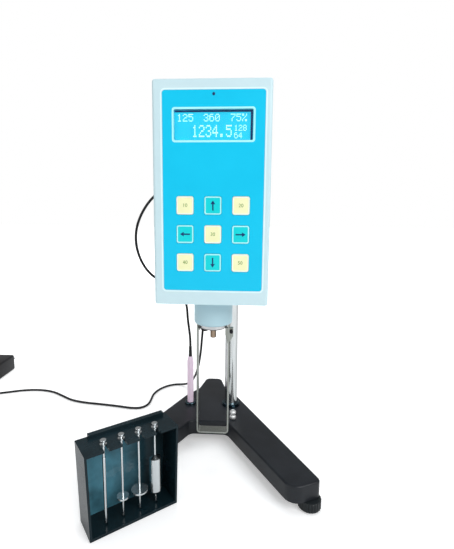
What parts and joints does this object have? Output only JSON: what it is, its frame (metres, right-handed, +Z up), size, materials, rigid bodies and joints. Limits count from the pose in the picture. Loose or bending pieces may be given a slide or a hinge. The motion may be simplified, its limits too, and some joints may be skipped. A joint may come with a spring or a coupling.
{
  "type": "rotational viscometer",
  "caption": "Bench rotational viscometer: motor head with keypad and display on a rack post, tripod base, guard, temperature probe and a case of measuring spindles.",
  "frame": {"origin": "on the bench, straight below the spindle axis, where the sample beaker stands", "axes": "+X to the right of the keypad, +Y from the keypad towards the post, +Z up along the spindle axis"},
  "size_m": [0.5854, 0.4165, 0.468],
  "materials": {
    "black_casting": "glossy black enamel",
    "steel": "ground",
    "chrome": "polished",
    "probe_plastic": "satin",
    "cord_rubber": "satin",
    "foot_plastic": "satin",
    "black_aluminium": "anodised black",
    "knob_plastic": "satin",
    "head_paint": "fine texture",
    "aluminium": "milled",
    "panel_film": "satin film",
    "window": "clear",
    "display": "display",
    "board": "solder mask",
    "black_plastic": "satin",
    "neck_paint": "satin",
    "stainless": "brushed",
    "black_steel": "blackened",
    "motor_steel": "plated",
    "brass": "machined",
    "spring": "blued",
    "case_plastic": "glossy",
    "key_cream": "film",
    "key_blue": "film"
  },
  "bodies": {
    "stand": {"base_casting": "black_casting", "post": "steel", "post_collar": "chrome", "post_bolt": "steel", "probe_ring": "chrome", "probe_sleeve": "probe_plastic", "probe_relief": "cord_rubber", "lock_nuts": "chrome", "probe_cord": "cord_rubber", "power_cord": "cord_rubber", "power_coil": "cord_rubber", "power_plugs": "black_plastic"},
    "foot_right": {"foot_right": "foot_plastic"},
    "foot_left": {"foot_left": "foot_plastic"},
    "foot_rear": {"foot_rear": "foot_plastic"},
    "carriage": {"carriage_block": "black_aluminium"},
    "lift_knob": {"lift_pinion": "steel", "lift_knob": "knob_plastic"},
    "lock_knob": {"lock_knob": "knob_plastic"},
    "rod_clamp_knob": {"rod_clamp_knob": "knob_plastic"},
    "head": {"front_shell": "head_paint", "rear_cover": "head_paint", "head_screws": "black_steel", "chassis_plate": "aluminium", "handle_rod": "steel", "overlay_panel": "panel_film", "display_window": "window", "display_module": "display", "main_board": "board", "bubble_level": "chrome", "rear_sockets": "black_plastic", "neck_housing": "neck_paint", "neck_cap": "aluminium", "guard": "stainless", "bearings": "steel", "motor": "motor_steel"},
    "drive": {"drive_shaft": "steel", "drive_gear": "brass", "upper_disc": "aluminium"},
    "motor_rotor": {"motor_pinion": "steel"},
    "pivot": {"pivot_shaft": "steel", "lower_disc": "aluminium", "hairspring": "spring", "coupling_nut": "stainless"},
    "rocker": {"power_rocker": "black_plastic"},
    "spindle_case": {"case_shell": "case_plastic", "case_shelf": "case_plastic"},
    "key_1_1": {"key_1_1": "key_cream"},
    "key_1_3": {"key_1_3": "key_cream"},
    "key_2_2": {"key_2_2": "key_cream"},
    "key_3_1": {"key_3_1": "key_cream"},
    "key_3_3": {"key_3_3": "key_cream"},
    "key_1_2": {"key_1_2": "key_blue"},
    "key_2_1": {"key_2_1": "key_blue"},
    "key_2_3": {"key_2_3": "key_blue"},
    "key_3_2": {"key_3_2": "key_blue"},
    "spindle_1": {"spindle_1": "stainless"},
    "spindle_2": {"spindle_2": "stainless"},
    "spindle_3": {"spindle_3": "stainless"},
    "spindle_4": {"spindle_4": "stainless"}
  },
  "joints": [
    {"name": "foot_right_turn", "type": "hinge", "parent": "stand", "child": "foot_right", "pos_m": [0.111, -0.0705, 0], "axis": [0, 0, 1], "continuous": true},
    {"name": "foot_left_turn", "type": "hinge", "parent": "stand", "child": "foot_left", "pos_m": [-0.127, -0.0705, 0], "axis": [0, 0, 1], "continuous": true},
    {"name": "foot_rear_turn", "type": "hinge", "parent": "stand", "child": "foot_rear", "pos_m": [-0.008, 0.163, 0], "axis": [0, 0, 1], "continuous": true},
    {"name": "head_lift", "type": "slide", "parent": "stand", "child": "carriage", "axis": [0, 0, 1], "range_m": [-0.038, 0.07]},
    {"name": "lift_knob_turn", "type": "hinge", "parent": "carriage", "child": "lift_knob", "pos_m": [0.022, 0.105, 0.337], "axis": [1, 0, 0], "range_deg": [-312, 574]},
    {"name": "lock_knob_turn", "type": "hinge", "parent": "carriage", "child": "lock_knob", "pos_m": [0.045, 0.09, 0.368], "axis": [1, 0, 0], "range_deg": [0, 180]},
    {"name": "rod_clamp_turn", "type": "hinge", "parent": "carriage", "child": "rod_clamp_knob", "pos_m": [0, 0.09, 0.39], "axis": [0, 0, 1], "range_deg": [0, 180]},
    {"name": "head_level", "type": "hinge", "parent": "carriage", "child": "head", "pos_m": [0, 0.09, 0.352], "axis": [0, 1, 0], "range_deg": [-3, 3]},
    {"name": "drive_spin", "type": "hinge", "parent": "head", "child": "drive", "pos_m": [0, 0, 0.3], "axis": [0, 0, 1], "continuous": true},
    {"name": "motor_spin", "type": "hinge", "parent": "head", "child": "motor_rotor", "pos_m": [0.0256, 0, 0.3], "axis": [0, 0, 1], "continuous": true},
    {"name": "spring_windup", "type": "hinge", "parent": "drive", "child": "pivot", "pos_m": [0, 0, 0.23], "axis": [0, 0, 1], "range_deg": [0, 85], "stiffness_Nm_per_rad": 0.00006},
    {"name": "power_switch", "type": "hinge", "parent": "head", "child": "rocker", "pos_m": [0.027, 0.047, 0.262], "axis": [1, 0, 0], "range_deg": [0, 10]},
    {"name": "key_1_1_press", "type": "slide", "parent": "head", "child": "key_1_1", "axis": [0, 1, 0], "range_m": [0, 0.0005], "stiffness_N_per_m": 300},
    {"name": "key_1_2_press", "type": "slide", "parent": "head", "child": "key_1_2", "axis": [0, 1, 0], "range_m": [0, 0.0005], "stiffness_N_per_m": 300},
    {"name": "key_1_3_press", "type": "slide", "parent": "head", "child": "key_1_3", "axis": [0, 1, 0], "range_m": [0, 0.0005], "stiffness_N_per_m": 300},
    {"name": "key_2_1_press", "type": "slide", "parent": "head", "child": "key_2_1", "axis": [0, 1, 0], "range_m": [0, 0.0005], "stiffness_N_per_m": 300},
    {"name": "key_2_2_press", "type": "slide", "parent": "head", "child": "key_2_2", "axis": [0, 1, 0], "range_m": [0, 0.0005], "stiffness_N_per_m": 300},
    {"name": "key_2_3_press", "type": "slide", "parent": "head", "child": "key_2_3", "axis": [0, 1, 0], "range_m": [0, 0.0005], "stiffness_N_per_m": 300},
    {"name": "key_3_1_press", "type": "slide", "parent": "head", "child": "key_3_1", "axis": [0, 1, 0], "range_m": [0, 0.0005], "stiffness_N_per_m": 300},
    {"name": "key_3_2_press", "type": "slide", "parent": "head", "child": "key_3_2", "axis": [0, 1, 0], "range_m": [0, 0.0005], "stiffness_N_per_m": 300},
    {"name": "key_3_3_press", "type": "slide", "parent": "head", "child": "key_3_3", "axis": [0, 1, 0], "range_m": [0, 0.0005], "stiffness_N_per_m": 300},
    {"name": "case_lift", "type": "slide", "parent": "stand", "child": "spindle_case", "axis": [0, 0, 1], "range_m": [0, 0.12]},
    {"name": "spindle_1_out", "type": "slide", "parent": "spindle_case", "child": "spindle_1", "axis": [0.6068, -0.7948, 0], "range_m": [0, 0.06]},
    {"name": "spindle_2_out", "type": "slide", "parent": "spindle_case", "child": "spindle_2", "axis": [0.6068, -0.7948, 0], "range_m": [0, 0.06]},
    {"name": "spindle_3_out", "type": "slide", "parent": "spindle_case", "child": "spindle_3", "axis": [0.6068, -0.7948, 0], "range_m": [0, 0.06]},
    {"name": "spindle_4_out", "type": "slide", "parent": "spindle_case", "child": "spindle_4", "axis": [0.6068, -0.7948, 0], "range_m": [0, 0.06]}
  ],
  "couplings": [
    {"joint": "lift_knob_turn", "follows": "head_lift", "rad_per_m": 142.86},
    {"joint": "motor_spin", "follows": "drive_spin", "ratio": -3}
  ]
}
